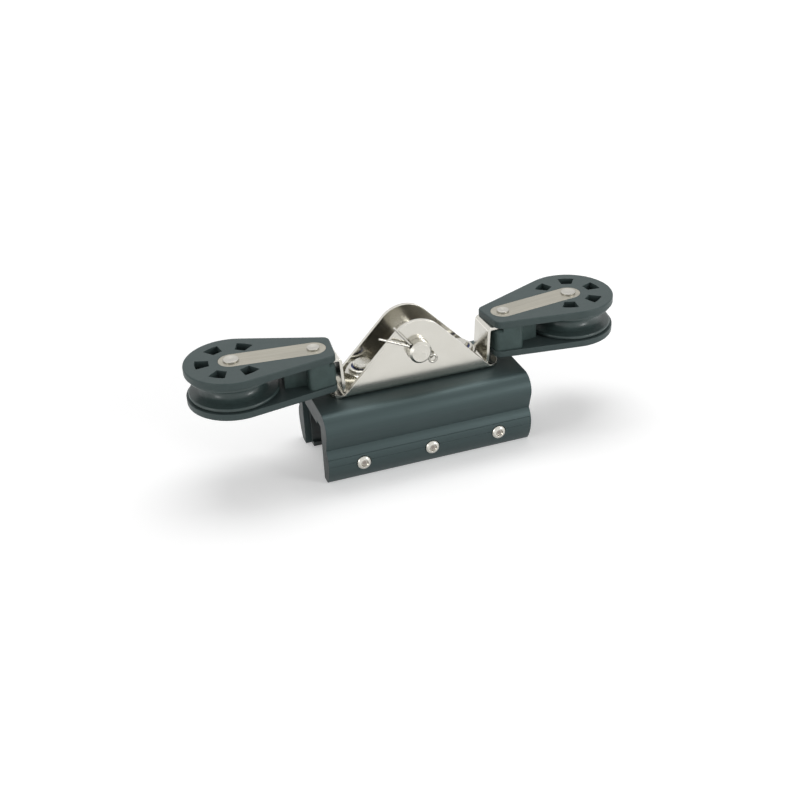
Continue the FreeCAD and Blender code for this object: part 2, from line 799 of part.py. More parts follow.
def make_cheek(name, floor, outside_up):
    """A block's side plate: a disc drawn out to a tail, with five windows round its axle."""
    radius, taper, corner = size["cheek_radius"], size["cheek_taper"], size["cheek_corner"]
    tail = size["pivot_distance"] + size["cheek_tail"]
    half_end = (radius - tail * sine(taper)) / cosine(taper)
    setback = corner * tangent((RIGHT_ANGLE - taper) / 2)
    body = new_body(name)
    outline = new_sketch(body, "XY_Plane", floor)
    draw(outline, mirrored([
        line(-tail, half_end - setback),
        arc(setback * cosine(taper) - tail, half_end + setback * sine(taper), corner, RIGHT),
        line(-radius * sine(taper), radius * cosine(taper)),
        arc(radius, 0, radius, RIGHT),
    ], "y"))
    plate = pad(body, outline, size["cheek_thickness"])
    face = (floor + size["cheek_thickness"]).value if outside_up else floor.value
    rim = edges_where(plate, lambda point: abs(point.z - face) < TOLERANCE)
    dress(body, "Fillet", plate, rim, size["cheek_edge"])

    sheet_size, half = size["side_strap_sheet"], size["side_strap_half_width"]
    skin = floor + size["cheek_thickness"] if outside_up else floor
    recess = new_sketch(body, "XY_Plane", skin)
    draw(recess, strap_outline(half + size["side_strap_fit"]))
    pocket(body, recess, sheet_size, along_normal=not outside_up)
    holes = new_sketch(body, "XY_Plane", skin)
    draw_circle(holes, 0, 0, axle_hole_radius)
    draw_circle(holes, -size["pivot_distance"], 0, pivot_hole_radius)
    pocket(body, holes, both_ways=True)

    inner, outer, angle = size["window_inner"], size["window_outer"], size["window_half_angle"]
    sweep = size["window_pitch"] * (WINDOWS - 1)
    window = new_sketch(body, "XY_Plane", skin)

    def on_window(reach, way):
        bearing = sweep / 2 + angle * way
        return reach * cosine(bearing), reach * sine(bearing)

    draw(window, [
        line(*on_window(inner, -1)),
        line(*on_window(outer, -1)),
        arc(*on_window(outer, 1), outer, LEFT),
        line(*on_window(inner, 1)),
    ])
    opening = pocket(body, window, both_ways=True)
    doc.recompute()
    ring = body.newObject("PartDesign::PolarPattern", f"{name}_windows")
    ring.Originals = [opening]
    ring.Axis = (origin_feature(body, "Z_Axis"), [""])
    ring.Reversed = True
    ring.setExpression("Angle", sweep.formula)
    ring.Occurrences = WINDOWS
    body.Tip = ring
    return body


def strap_outline(half):
    """A straight-sided strap with round ends, round the axle and round the tail pivot."""
    far = size["pivot_distance"]
    return mirrored([
        line(-far - half, 0),
        arc(-far, half, half, RIGHT),
        line(0, half),
        arc(half, 0, half, RIGHT),
    ], "y")


def make_side_strap(name, floor):
    """The steel strap let into a cheek, from the axle to the tail pivot."""
    holes = [(ZERO, 0, axle_hole_radius), (-size["pivot_distance"], 0, pivot_hole_radius)]
    outline = strap_outline(size["side_strap_half_width"])
    return extruded_view(name, "XY_Plane", outline, size["side_strap_sheet"], holes, floor, False)


def make_sheave(name):
    """A grooved wheel: round groove floor, flared walls and thin rims."""
    half = size["cheek_spacing"] / 2 - size["sheave_play"]
    middle = lower_cheek_top + size["cheek_spacing"] / 2
    flare, groove = size["groove_flare"], size["groove_radius"]
    centre = size["groove_floor"] + groove
    wall_x, wall_z = centre - groove * sine(flare), groove * cosine(flare)
    outer, edge, lip = size["sheave_radius"], size["rim_edge"], size["rim_round"]
    mouth = wall_z + (outer - lip - wall_x) * tangent(flare)
    bore = size["bush_radius"] + size["bush_fit"]
    return turned(name, [
        line(bore, middle - half),
        line(outer - edge, middle - half),
        line(outer, middle - half + edge),
        line(outer, middle - mouth - lip),
        arc(outer - lip, middle - mouth, lip, LEFT),
        line(wall_x, middle - wall_z),
        arc(size["groove_floor"], middle, groove, RIGHT),
        arc(wall_x, middle + wall_z, groove, RIGHT),
        line(outer - lip, middle + mouth),
        arc(outer, middle + mouth + lip, lip, LEFT),
        line(outer, middle + half - edge),
        line(outer - edge, middle + half),
        line(bore, middle + half),
    ])


def make_bush(name):
    """The sleeve between the cheeks that the sheave turns on."""
    inner, outer = axle_hole_radius, size["bush_radius"]
    return turned(name, [
        line(inner, lower_cheek_top),
        line(outer, lower_cheek_top),
        line(outer, cheek_bottom),
        line(inner, cheek_bottom),
    ])


def make_through_rivet(name, x, radius, head):
    """A rivet through the whole block, with a dished head on the strap at either end."""
    chamfer, height, dish = size["head_chamfer"], size["head_height"], size["head_dish_depth"]
    low, high = lower_cheek_bottom, size["cheek_top"]
    ring = head - size["head_rim"]
    rivet = new_body(name)
    sketch = new_sketch(rivet, "XZ_Plane")
    draw(sketch, [
        line(0, low - height + dish),
        line(ring, low - height),
        line(head - chamfer, low - height),
        line(head, low - height + chamfer),
        line(head, low),
        line(radius, low),
        line(radius, high),
        line(head, high),
        line(head, high + height - chamfer),
        line(head - chamfer, high + height),
        line(ring, high + height),
        line(0, high + height - dish),
    ])
    sketch.setExpression("AttachmentOffset.Base.x", as_size(x).formula)
    turn = rivet.newObject("PartDesign::Revolution", f"{name}_turn")
    turn.Profile = sketch
    turn.ReferenceAxis = (sketch, ["V_Axis"])
    return rivet


def make_spacer(name):
    """The moulding between the tails: a block round the pivot and a web towards the sheave.

    Its long sides run along the cheeks' edges, a little inside them. A slot in its top takes
    the end of the strap and flares towards the tail, so that the block can swivel.
    """
    far, corner, taper = size["pivot_distance"], size["spacer_corner"], size["cheek_taper"]
    tail, nose = far + size["spacer_tail"], far - size["spacer_nose"]
    web, hollow = size["web_half_width"], size["sheave_radius"] + size["web_gap"]
    along, across = cosine(taper), sine(taper)
    edge = size["cheek_radius"] - size["spacer_inset"]
    tail_half, nose_half = (edge - tail * across) / along, (edge - nose * across) / along
    blunt = corner * tangent((RIGHT_ANGLE - taper) / 2)
    sharp = corner * tangent((RIGHT_ANGLE + taper) / 2)
    body = new_body(name)
    outline = new_sketch(body, "XY_Plane", lower_cheek_top)
    draw(outline, mirrored([
        line(-tail, tail_half - blunt),
        arc(blunt * along - tail, tail_half + blunt * across, corner, RIGHT),
        line(-nose - sharp * along, nose_half - sharp * across),
        arc(-nose, nose_half - sharp, corner, RIGHT),
        line(-nose, web),
        line(-root(hollow * hollow - web * web), web),
        arc(-hollow, 0, hollow, LEFT),
    ], "y"))
    draw_circle(outline, -far, 0, pivot_hole_radius)
    pad(body, outline, size["cheek_spacing"])

    reach, flare = size["strap_half_width"] + size["slot_gap"], size["slot_flare"]
    centre = size["flange_straight"] - size["tail_pivot"] - far
    mouth = far + size["spacer_tail"] * 2
    slot = new_sketch(body, "XY_Plane", cheek_bottom)
    draw(slot, mirrored([
        line(-mouth, (reach + (mouth + centre) * sine(flare)) / cosine(flare)),
        line(centre + reach * sine(flare), reach * cosine(flare)),
        arc(centre + reach, 0, reach, RIGHT),
    ], "y"))
    slotted = pocket(body, slot, cheek_bottom - slot_floor)
    level, end = slot_floor.value, (blunt * along - tail).value + TOLERANCE
    rim = edges_where(slotted, lambda point: point.x < end and abs(point.z - level) < TOLERANCE)
    dress(body, "Chamfer", slotted, rim, size["spacer_chamfer"])
    return body


def make_block(side, bearing, sign):
    """The nine pieces of one block, placed by its axle and turned to its bearing."""
    strap = size["side_strap_sheet"]
    pieces = {
        "upper_cheek": make_cheek(f"{side}_upper_cheek", cheek_bottom, True),
        "lower_cheek": make_cheek(f"{side}_lower_cheek", lower_cheek_bottom, False),
        "upper_strap": make_side_strap(f"{side}_upper_strap", size["cheek_top"] - strap),
        "lower_strap": make_side_strap(f"{side}_lower_strap", lower_cheek_bottom),
        "sheave": make_sheave(f"{side}_sheave"),
        "sheave_bush": make_bush(f"{side}_sheave_bush"),
        "axle_rivet": make_through_rivet(f"{side}_axle_rivet", 0, size["axle_radius"],
                                         size["axle_head_radius"]),
        "tail_rivet": make_through_rivet(f"{side}_tail_rivet", -size["pivot_distance"],
                                         size["pivot_radius"], size["pivot_head_radius"]),
        "spacer": make_spacer(f"{side}_spacer"),
    }
    x = size["tail_pivot"] * sign + size["pivot_distance"] * cosine(bearing)
    y = size["pivot_distance"] * sine(bearing)
    for piece in pieces.values():
        place(piece, x, y, ZERO, Z_AXIS, bearing)
    return {f"{side}_{word}": piece for word, piece in pieces.items()}


nodes = {
    "car_body": make_car_body(),
    "slide_front": make_slide("slide_front", -1),
    "slide_back": make_slide("slide_back", 1),
    "side_rivets_front": make_side_rivets("side_rivets_front", -1),
    "side_rivets_back": make_side_rivets("side_rivets_back", 1),
    "bracket": make_bracket(),
    "block_strap": make_block_strap(),
    "mounting_bolts": make_pair("mounting_bolts", make_bolt),
    "locking_nuts": make_pair("locking_nuts", make_nut),
    "nut_inserts": make_pair("nut_inserts", make_insert),
    "clevis_pin": make_clevis_pin(),
    "split_pin": make_split_pin(),
}
nodes.update(make_block("left", STRAIGHT - size["left_yaw"], -1))
nodes.update(make_block("right", size["right_yaw"], 1))
doc.recompute()

faults = [f"{item.Name}: {item.State}" for item in doc.Objects
          if "Invalid" in item.State or "Error" in item.State]
for name, item in nodes.items():
    if item.Shape.isNull() or not item.Shape.isValid():
        faults.append(f"{name}: no valid shape")
if faults:
    raise RuntimeError("the model did not build: " + "; ".join(faults))

os.makedirs("parts", exist_ok=True)
for name, item in nodes.items():
    item.Shape.exportStep(f"parts/{name}.step")
    print(f"{name}: {len(item.Shape.Solids)} solid(s), {item.Shape.Volume:.1f} mm3")
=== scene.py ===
import math

import bpy
from bpy.props import FloatProperty, FloatVectorProperty, PointerProperty
from mathutils import Matrix, Vector


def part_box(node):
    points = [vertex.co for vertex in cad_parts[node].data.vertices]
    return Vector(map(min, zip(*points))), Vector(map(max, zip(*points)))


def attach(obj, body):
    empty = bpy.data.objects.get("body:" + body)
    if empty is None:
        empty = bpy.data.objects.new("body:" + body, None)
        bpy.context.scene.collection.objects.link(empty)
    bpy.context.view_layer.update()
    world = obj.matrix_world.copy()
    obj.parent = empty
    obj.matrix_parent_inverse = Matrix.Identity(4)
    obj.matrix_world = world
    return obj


bl_info = {
    "name": "Track car",
    "version": (1, 0, 0),
    "blender": (4, 5, 0),
    "location": "View3D > Sidebar > Track Car",
    "description": "Finishes a mainsheet traveller car and sets it in a pale studio",
    "category": "Object",
}

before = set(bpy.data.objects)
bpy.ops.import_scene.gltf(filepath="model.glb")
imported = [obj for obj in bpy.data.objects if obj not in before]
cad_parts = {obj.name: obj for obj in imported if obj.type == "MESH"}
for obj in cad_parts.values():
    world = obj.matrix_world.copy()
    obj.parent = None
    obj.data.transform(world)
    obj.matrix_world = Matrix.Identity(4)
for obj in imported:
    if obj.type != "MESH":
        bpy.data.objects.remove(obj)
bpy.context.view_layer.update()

MM = 0.001
QUARTER_TURN = math.radians(90)
ROUND_Y = (QUARTER_TURN, 0.0, 0.0)  # turns an axis along Z into one along Y
WHITE = (1.0, 1.0, 1.0, 1.0)

NOISE_SPAN = (0.25, 0.75)  # nearly all of a noise's values lie between these
COAT_ROUGHNESS = 0.18
EDGE_SAMPLES = 6
FINE_EDGE = 0.6  # edge rounding of small steel pieces, as a share of the large ones'
LOOKS_ALONG = 0.9  # cosine above which a surface counts as looking along an axis
SPOT_CORE = 0.35  # share of the painted dimple shade's radius over which it is at its darkest
MIX_FIRST, MIX_SECOND, MIX_RESULT = 6, 7, 2  # the colour sockets of a Mix node
THREAD_STEPS, THREAD_SIDES = 48, 6  # of each turn of a thread, and of its section

# The studio, in metres
FLOOR_REACH = 6.0
GLOW_NEAR, GLOW_FAR = 0.22, 0.75  # the floor's glow rises to full white between these distances
LAMP_AIM = (0.0, 0.0, 0.04)
LAMPS = {  # place, width and height
    "key": ((0.10, 0.32, 0.94), 0.9, 0.45),
    "fill": ((0.68, -0.78, 0.34), 0.3, 0.3),
    "side": ((-0.98, -0.30, 0.32), 0.3, 0.4),
}

# The camera, fitted to straight lines of the body and the bracket
CAMERA_PLACE = (-0.181157, -0.531928, 0.352056)
CAMERA_ANGLES = (-18.79, 30.31, -2.36)  # bearing, downward tilt and roll, in degrees
CAMERA_CLIP = (0.01, 50.0)
SENSOR_WIDTH = 36.0
IMAGE_WIDTH = 800  # in pixels, as are the next two
FOCAL_LENGTH = 1222.14
IMAGE_CENTRE = (412.67, 400.31)


def colour(name, description, default):
    return FloatVectorProperty(name=name, description=description, default=default,
                               subtype="COLOR", size=3, min=0.0, max=1.0)


def length(name, description, default):
    return FloatProperty(name=name, description=description, default=default,
                         subtype="DISTANCE", unit="LENGTH", min=0.0, precision=5)


def share(name, description, default):
    return FloatProperty(name=name, description=description, default=default,
                         subtype="FACTOR", min=0.0, max=1.0)


def power(name, description, default):
    return FloatProperty(name=name, description=description, default=default, min=0.0)


class TRACKCAR_PG_finish(bpy.types.PropertyGroup):
    """Colours and surface values of the car's pieces."""

    body: colour("Body", "Anodised extrusion", (0.053, 0.077, 0.078))
    body_worn: colour("Body streaks", "Lighter die lines in the anodising", (0.064, 0.090, 0.091))
    # Painted shade: a dark colour for the body's end faces, which stand in shade.
    body_end_shade: colour("Body ends", "Painted shade on the ends of the extrusion", (0.022, 0.032, 0.032))
    steel: colour("Steel", "Polished stainless sheet", (0.67, 0.655, 0.605))
    steel_dull: colour("Dull steel", "Darker streaks in the sheet", (0.55, 0.535, 0.48))
    # Painted shade: a dark colour for the rivets' dimples, standing in for their shade and dark
    # reflection.
    dimple_shade: colour("Dimple shade", "Painted shade in the rivets' dimples", (0.30, 0.265, 0.235))
    strip: colour("Strap", "Brushed strip let into the cheeks", (0.43, 0.41, 0.35))
    strip_dull: colour("Strap grain", "Darker grain of the strip", (0.25, 0.237, 0.20))
    cheek: colour("Cheek", "Glass-filled moulding", (0.046, 0.067, 0.066))
    cheek_mottle: colour("Cheek mottle", "Lighter fibre mottle", (0.056, 0.078, 0.077))
    sheave: colour("Sheave", "Dark acetal", (0.040, 0.060, 0.058))
    spacer: colour("Spacer", "Dark moulding between the tails", (0.038, 0.060, 0.057))
    slide: colour("Slide", "Black acetal", (0.016, 0.016, 0.018))
    bush: colour("Bush", "Pale bearing plastic", (0.50, 0.50, 0.47))
    nylon: colour("Insert", "Blue nylon locking ring", (0.012, 0.035, 0.19))
    steel_roughness: share("Steel roughness", "Roughness of the polished sheet", 0.17)
    cheek_roughness: share("Cheek roughness", "Roughness of the moulding", 0.46)
    edge_round: length("Edge rounding", "How far the edges look rounded", 0.3 * MM)


class TRACKCAR_PG_detail(bpy.types.PropertyGroup):
    """Sizes of the painted shade in the rivets' dimples and of the threads, which the scene adds
    to the car.
    """

    # Painted shade: radius of the dark spot painted in each rivet's dimple.
    rivet_dimple: length("Rivet dimple", "Radius of the painted shade in a rivet's dimple", 2.1 * MM)
    thread_radius: length("Thread radius", "Radius of the bolts at the threads' roots", 4.75 * MM)
    thread_pitch: length("Thread pitch", "From one turn to the next", 1.5 * MM)
    thread_height: length("Thread height", "How far the thread stands out", 0.22 * MM)
    thread_start: length("Thread start", "Height of the first turn that shows", 49.4 * MM)
    thread_end: length("Thread end", "Height at which the thread runs out", 52.2 * MM)


class TRACKCAR_PG_studio(bpy.types.PropertyGroup):
    """The studio's light and background."""

    world_light: power("World light", "Strength of the soft light all round", 0.38)
    key: power("Key light", "Power of the large lamp above", 4.6)
    fill: power("Fill light", "Power of the lamp in front, on the right", 3.6)
    side: power("Side light", "Power of the lamp on the left", 1.8)
    floor: colour("Floor", "Pale floor", (0.86, 0.86, 0.86))
    floor_glow: share("Floor glow", "Brings the floor up to the white background", 0.30)


def finish():
    return bpy.context.scene.trackcar_finish


def detail():
    return bpy.context.scene.trackcar_detail


def studio():
    return bpy.context.scene.trackcar_studio


def add_node(tree, kind, inputs=None, **settings):
    """Add a node with its settings, and link or set its inputs."""
    node = tree.nodes.new(kind)
    for key, value in settings.items():
        setattr(node, key, value)
    for key, value in (inputs or {}).items():
        if isinstance(value, bpy.types.NodeSocket):
            tree.links.new(value, node.inputs[key])
        else:
            node.inputs[key].default_value = value
    return node


def empty_tree(owner):
    """The node tree of a material or a world, with nothing in it."""
    owner.use_nodes = True
    owner.node_tree.nodes.clear()
    return owner.node_tree


class Surface:
    """A node material that is built up on one principled shader."""

    def __init__(self, name, roughness, metallic=0.0, coat=0.0, shine=0.5):
        self.material = bpy.data.materials.new(name)
        self.tree = empty_tree(self.material)
        self.shader = self.add("ShaderNodeBsdfPrincipled", {
            "Roughness": roughness, "Metallic": metallic, "Specular IOR Level": shine,
            "Coat Weight": coat, "Coat Roughness": COAT_ROUGHNESS})
        self.add("ShaderNodeOutputMaterial", {"Surface": self.shader.outputs["BSDF"]})
        self.place = self.add("ShaderNodeTexCoord").outputs["Object"]
        self.normal = None

    def add(self, kind, inputs=None, **settings):
        return add_node(self.tree, kind, inputs, **settings)

    def centre(self, point, turn=(0.0, 0.0, 0.0)):
        """Read every later pattern in coordinates of a piece's own, centred and turned."""
        mapping = self.add("ShaderNodeMapping", {
            "Vector": self.place, "Location": point, "Rotation": turn}, vector_type="TEXTURE")
        self.place = mapping.outputs["Vector"]

    def repeat(self, spacing):
        """Start the coordinates afresh at each of a row's pieces along X."""
        parts = self.add("ShaderNodeSeparateXYZ", {"Vector": self.place}).outputs
        near = self.add("ShaderNodeMath", {0: parts["X"], 1: spacing / 2, 2: -spacing / 2},
                        operation="WRAP").outputs["Value"]
        joined = self.add("ShaderNodeCombineXYZ", {"X": near, "Y": parts["Y"], "Z": parts["Z"]})
        self.place = joined.outputs["Vector"]

    def noise(self, per_metre, octaves, roughness=0.55, distortion=0.0):
        """A noise whose grain is so many to the metre along each axis."""
        stretched = self.add("ShaderNodeMapping", {"Vector": self.place, "Scale": per_metre})
        node = self.add("ShaderNodeTexNoise", {
            "Vector": stretched.outputs["Vector"], "Scale": 1.0, "Detail": octaves,
            "Roughness": roughness, "Distortion": distortion})
        return node.outputs["Fac"]

    def off_axis(self):
        """The distance from the centred Z axis."""
        parts = self.add("ShaderNodeSeparateXYZ", {"Vector": self.place}).outputs
        flat = self.add("ShaderNodeCombineXYZ", {"X": parts["X"], "Y": parts["Y"]})
        reach = self.add("ShaderNodeVectorMath", {0: flat.outputs["Vector"]}, operation="LENGTH")
        return reach.outputs["Value"]

    def spot(self, inner, outer):
        """One about the centred Z axis, and nothing beyond the outer radius."""
        node = self.add("ShaderNodeMapRange", {
            "Value": self.off_axis(), "From Min": inner, "From Max": outer,
            "To Min": 1.0, "To Max": 0.0})
        return node.outputs["Result"]

    def rings(self, spacing):
        """Fine rings about the centred Z axis, as a lathe leaves them."""
        turns = self.add("ShaderNodeMath", {0: self.off_axis(), 1: math.tau / spacing},
                         operation="MULTIPLY")
        wave = self.add("ShaderNodeMath", {0: turns.outputs["Value"]}, operation="SINE")
        ranged = self.add("ShaderNodeMapRange", {"Value": wave.outputs["Value"],
                                                 "From Min": -1.0})
        return ranged.outputs["Result"]

    def facing(self, axis):
        """One where the surface looks along an axis, either way."""
        normal = self.add("ShaderNodeNewGeometry").outputs["Normal"]
        turned = self.add("ShaderNodeVectorTransform", {"Vector": normal}, vector_type="NORMAL",
                          convert_from="WORLD", convert_to="OBJECT")
        parts = self.add("ShaderNodeSeparateXYZ", {"Vector": turned.outputs["Vector"]}).outputs
        cosine = self.add("ShaderNodeMath", {0: parts[axis]}, operation="ABSOLUTE")
        above = self.add("ShaderNodeMath", {0: cosine.outputs["Value"], 1: LOOKS_ALONG},
                         operation="GREATER_THAN")
        return above.outputs["Value"]

    def between(self, value, low, high):
        """Spread a noise from a low value to a high one."""
        node = self.add("ShaderNodeMapRange", {
            "Value": value, "From Min": NOISE_SPAN[0], "From Max": NOISE_SPAN[1],
            "To Min": low, "To Max": high})
        return node.outputs["Result"]

    def tint(self, amount, first, second):
        """Mix two colours by a pattern and make that the base colour."""
        node = self.add("ShaderNodeMix", {"Factor": amount}, data_type="RGBA")
        for index, value in ((MIX_FIRST, first), (MIX_SECOND, second)):
            if isinstance(value, bpy.types.NodeSocket):
                self.tree.links.new(value, node.inputs[index])
            else:
                node.inputs[index].default_value = (*value, 1.0)
        self.tree.links.new(node.outputs[MIX_RESULT], self.shader.inputs["Base Color"])
        return node.outputs[MIX_RESULT]

    def roughen(self, value, low, high):
        """Let a noise vary the roughness."""
        self.tree.links.new(self.between(value, low, high), self.shader.inputs["Roughness"])

    def round_edges(self, radius):
        """Make the edges catch light as if they were rounded."""
        node = self.add("ShaderNodeBevel", {"Radius": radius}, samples=EDGE_SAMPLES)
        self.normal = node.outputs["Normal"]
        self.tree.links.new(self.normal, self.shader.inputs["Normal"])
        self.tree.links.new(self.normal, self.shader.inputs["Coat Normal"])

    def bump(self, height, depth, strength):
        """Let a pattern stand out from the rounded surface."""
        node = self.add("ShaderNodeBump", {
            "Height": height, "Distance": depth, "Strength": strength, "Normal": self.normal})
        self.tree.links.new(node.outputs["Normal"], self.shader.inputs["Normal"])


def scaled(tone, times):
    """A colour made lighter or darker, and no lighter than white."""
    return [min(1.0, value * times) for value in tone]


def anodised():
    """Satin anodising with die lines along the extrusion, and painted shade that darkens its end
    faces.
    """
    colours = finish()
    surface = Surface("body_anodised", roughness=0.4, metallic=0.55, shine=0.3)
    surface.round_edges(colours.edge_round)
    die_lines = surface.noise(per_metre=(14, 900, 900), octaves=5.0)
    cloud = surface.noise(per_metre=(60, 90, 90), octaves=3.0)
    streaks = surface.between(die_lines, low=0.0, high=0.55)
    sides = surface.tint(streaks, colours.body, colours.body_worn)
    # Painted shade: faces that look along X, the body's ends, take the dark end colour.
    surface.tint(surface.facing("X"), sides, colours.body_end_shade)
    surface.roughen(cloud, low=0.41, high=0.49)
    surface.bump(die_lines, depth=0.02 * MM, strength=0.6)
    return surface.material


def moulded(name, base, mottle, roughness, coat=0.0, shine=0.5):
    """A moulded plastic with a fine grain and a soft cloud of colour."""
    surface = Surface(name, roughness, coat=coat, shine=shine)
    surface.round_edges(finish().edge_round)
    cloud = surface.noise(per_metre=(160, 160, 160), octaves=5.0, roughness=0.6)
    grain = surface.noise(per_metre=(2600, 2600, 2600), octaves=2.0)
    surface.tint(surface.between(cloud, low=0.0, high=1.0), base, mottle)
    surface.roughen(grain, low=roughness - 0.05, high=roughness + 0.07)
    surface.bump(grain, depth=0.02 * MM, strength=0.5)
    return surface.material


def polished_sheet(name):
    """Polished stainless sheet: faint upright grain, soft smears and a few darker clouds."""
    colours = finish()
    roughness = colours.steel_roughness
    surface = Surface(name, roughness, metallic=1.0)
    surface.round_edges(colours.edge_round)
    grain = surface.noise(per_metre=(1500, 1500, 60), octaves=3.0)
    smear = surface.noise(per_metre=(36, 60, 48), octaves=4.0, distortion=0.6)
    clouds = surface.between(smear, low=0.0, high=0.6)
    surface.tint(clouds, colours.steel, colours.steel_dull)
    surface.roughen(smear, low=roughness - 0.03, high=roughness + 0.05)
    surface.bump(grain, depth=0.006 * MM, strength=0.5)
    return surface.material


def brushed_strip(name, centre, turn):
    """A strip brushed along its length, which points away from X by a turn about Z."""
    colours = finish()
    surface = Surface(name, roughness=0.36, metallic=1.0)
    surface.round_edges(colours.edge_round)
    surface.centre(centre, (0.0, 0.0, turn))
    grain = surface.noise(per_metre=(40, 3200, 3200), octaves=5.0, roughness=0.6)
    cloud = surface.noise(per_metre=(110, 160, 160), octaves=3.0)
    scratches = surface.between(grain, low=0.0, high=0.8)
    surface.tint(scratches, colours.strip, colours.strip_dull)
    surface.roughen(cloud, low=0.30, high=0.44)
    surface.bump(grain, depth=0.01 * MM, strength=0.6)
    return surface.material


def turned_steel(name, centre, turn=(0.0, 0.0, 0.0), spacing=0.22 * MM, roughness=0.24, shade=1.0):
    """Bright steel with a lathe's rings about the centred axis."""
    colours = finish()
    surface = Surface(name, roughness, metallic=1.0)
    surface.round_edges(colours.edge_round * FINE_EDGE)
    surface.centre(centre, turn)
    rings = surface.rings(spacing)
    cloud = surface.noise(per_metre=(300, 300, 300), octaves=3.0)
    surface.tint(surface.between(cloud, low=0.0, high=0.8),
                 scaled(colours.steel, shade), scaled(colours.steel_dull, shade))
    surface.roughen(cloud, low=roughness - 0.05, high=roughness + 0.12)
    surface.bump(rings, depth=0.004 * MM, strength=0.4)
    return surface.material


def pulled_steel(name, centre, spacing, dish):
    """Bright steel of a row of pulled rivets, with painted shade and painted dark reflection in
    each head's dimple.
    """
    colours = finish()
    surface = Surface(name, roughness=0.18, metallic=1.0)
    surface.round_edges(colours.edge_round * FINE_EDGE)
    surface.centre(centre, ROUND_Y)
    scuff = surface.noise(per_metre=(900, 900, 900), octaves=4.0, distortion=0.8)
    surface.repeat(spacing)
    scuffs = surface.between(scuff, low=0.0, high=0.7)
    bright = surface.tint(scuffs, colours.steel, colours.steel_dull)
    # Painted shade: each head's dimple is darkened towards its middle.
    surface.tint(surface.spot(dish * SPOT_CORE, dish), bright, colours.dimple_shade)
    surface.roughen(scuff, low=0.12, high=0.26)
    surface.bump(scuff, depth=0.012 * MM, strength=0.5)
    return surface.material


def bright_steel(name, roughness, shade):
    """Bright steel of a small fastener, with faint scuffs."""
    colours = finish()
    surface = Surface(name, roughness, metallic=1.0)
    surface.round_edges(colours.edge_round * FINE_EDGE)
    scuff = surface.noise(per_metre=(700, 700, 700), octaves=4.0, distortion=0.8)
    surface.tint(surface.between(scuff, low=0.0, high=0.5),
                 scaled(colours.steel, shade), scaled(colours.steel_dull, shade))
    surface.roughen(scuff, low=roughness - 0.04, high=roughness + 0.14)
    surface.bump(scuff, depth=0.008 * MM, strength=0.4)
    return surface.material


def cover(node, material):
    """Give a CAD node its finish, on every slot it has."""
    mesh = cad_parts[node].data
    if not mesh.materials:
        mesh.materials.append(material)
    for index in range(len(mesh.materials)):
        mesh.materials[index] = material


def middle(node):
    """The middle of a node's box."""
    low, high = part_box(node)
    return (low + high) / 2


def row_reach(node, across):
    """From the middle of a row of round pieces along X to the axis of its last one.

    The row's box is as wide along the axis named across as one of its pieces.
    """
    low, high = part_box(node)
    return (high.x - low.x - (getattr(high, across) - getattr(low, across))) / 2


def heading(side):
    """The way a block points, from its tail rivet to its axle, about the Z axis."""
    way = middle(f"{side}_axle_rivet") - middle(f"{side}_tail_rivet")
    return math.atan2(way.y, way.x)


def keep_mesh(source, name, body):
    """Turn a modifier's result into a plain mesh that rides on a body."""
    graph = bpy.context.evaluated_depsgraph_get()
    mesh = bpy.data.meshes.new_from_object(source.evaluated_get(graph))
    bpy.data.objects.remove(source)
    piece = bpy.data.objects.new(name, mesh)
    bpy.context.scene.collection.objects.link(piece)
    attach(piece, body)


def thread_tree(material):
    """Geometry nodes: a thread's spiral about each point."""
    tree = bpy.data.node_groups.new("bolt_thread", "GeometryNodeTree")
    tree.interface.new_socket("Geometry", in_out="INPUT", socket_type="NodeSocketGeometry")
    for name in ("Radius", "Pitch", "Thread Height", "Start", "End"):
        tree.interface.new_socket(name, in_out="INPUT", socket_type="NodeSocketFloat")
    tree.interface.new_socket("Geometry", in_out="OUTPUT", socket_type="NodeSocketGeometry")

    def result(kind, inputs, **settings):
        return add_node(tree, kind, inputs, **settings).outputs[0]

    given = tree.nodes.new("NodeGroupInput").outputs
    tall = result("ShaderNodeMath", {0: given["End"], 1: given["Start"]}, operation="SUBTRACT")
    turns = result("ShaderNodeMath", {0: tall, 1: given["Pitch"]}, operation="DIVIDE")
    spiral = result("GeometryNodeCurveSpiral", {
        "Resolution": THREAD_STEPS, "Rotations": turns, "Start Radius": given["Radius"],
        "End Radius": given["Radius"], "Height": tall})
    lift = result("ShaderNodeCombineXYZ", {"Z": given["Start"]})
    raised = result("GeometryNodeTransform", {"Geometry": spiral, "Translation": lift})
    section = result("GeometryNodeCurvePrimitiveCircle", {
        "Resolution": THREAD_SIDES, "Radius": given["Thread Height"]}, mode="RADIUS")
    thread = result("GeometryNodeCurveToMesh", {
        "Curve": raised, "Profile Curve": section, "Fill Caps": True})
    copies = result("GeometryNodeInstanceOnPoints", {
        "Points": given["Geometry"], "Instance": thread})
    real = result("GeometryNodeRealizeInstances", {"Geometry": copies})
    painted = result("GeometryNodeSetMaterial", {"Geometry": real, "Material": material})
    add_node(tree, "NodeGroupOutput", {0: painted})
    return tree


def set_inputs(modifier, values):
    """Set a geometry nodes modifier's inputs by their names in the tree."""
    for item in modifier.node_group.interface.items_tree:
        if item.item_type == "SOCKET" and item.in_out == "INPUT" and item.name in values:
            modifier[item.identifier] = values[item.name]


